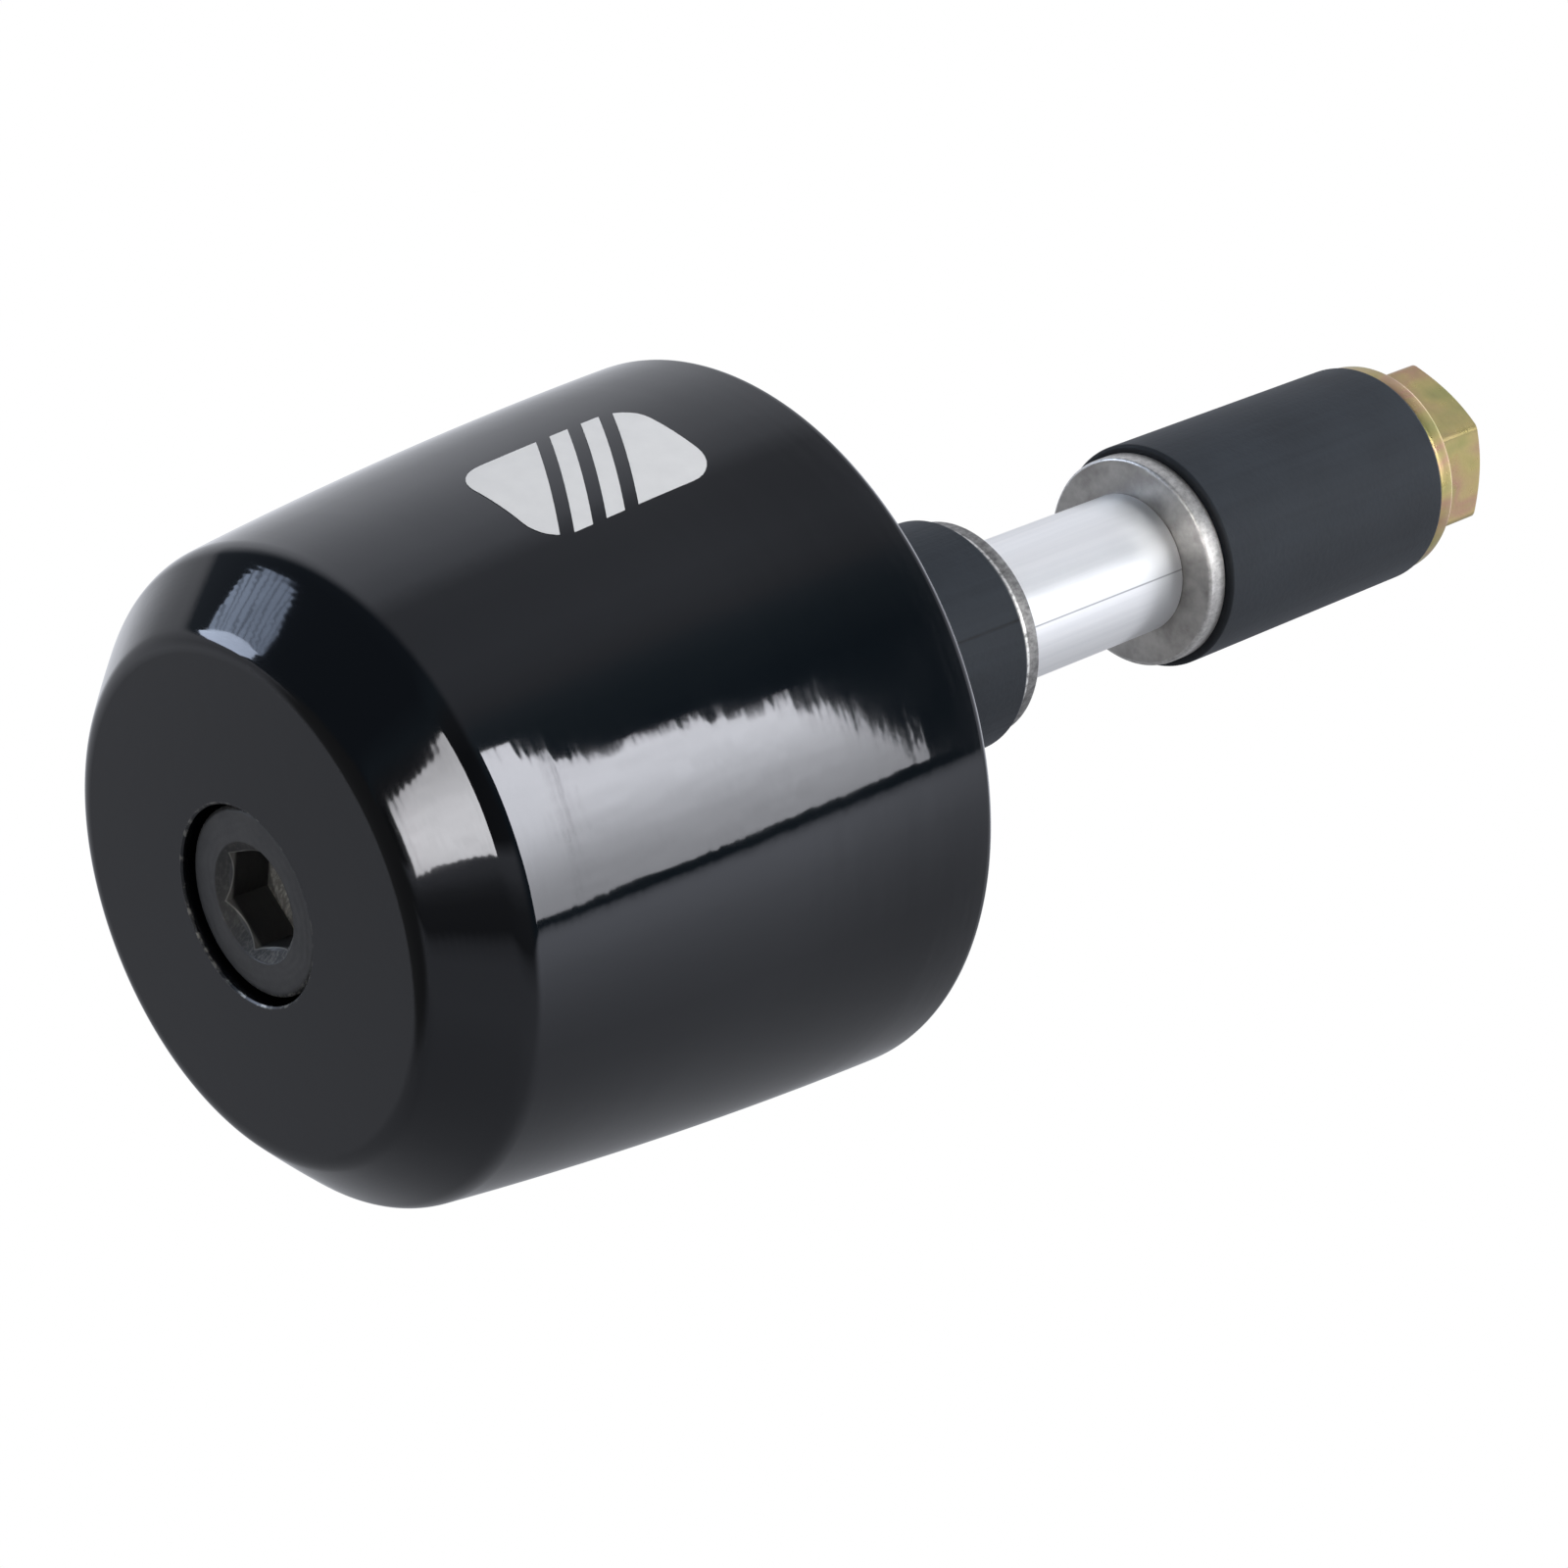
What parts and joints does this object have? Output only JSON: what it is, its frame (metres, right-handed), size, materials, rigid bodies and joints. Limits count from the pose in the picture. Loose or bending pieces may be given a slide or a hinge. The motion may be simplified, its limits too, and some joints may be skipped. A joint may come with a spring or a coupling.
{
  "type": "bar end weight",
  "caption": "Turned gloss-black handlebar end weight on a long socket screw, with rubber expander sleeves, washers, a spacer tube and a flange nut that grip inside the bar.",
  "frame": {"origin": "centre of the weight's outer face, which the part stands on", "axes": "+Z along the screw, from the weight's outer face towards the inside of the handlebar; +X and +Y follow the right-hand rule, and the key socket has a corner 30 degrees from +X"},
  "size_m": [0.0398, 0.0398, 0.0915],
  "materials": {
    "gloss_black_coat": "gloss black coat over turned steel",
    "black_oxide_steel": "matt black oxide on steel",
    "black_rubber": "matt extruded rubber",
    "washer_steel": "plain stamped steel",
    "spacer_aluminium": "bright drawn tube",
    "yellow_zinc_steel": "yellow passivated zinc"
  },
  "bodies": {
    "root": {"end_weight": "gloss_black_coat", "cap_screw": "black_oxide_steel", "short_rubber_sleeve": "black_rubber", "outer_washer": "washer_steel", "spacer_tube": "spacer_aluminium", "inner_washer": "washer_steel", "long_rubber_sleeve": "black_rubber", "flange_nut": "yellow_zinc_steel"}
  },
  "joints": []
}
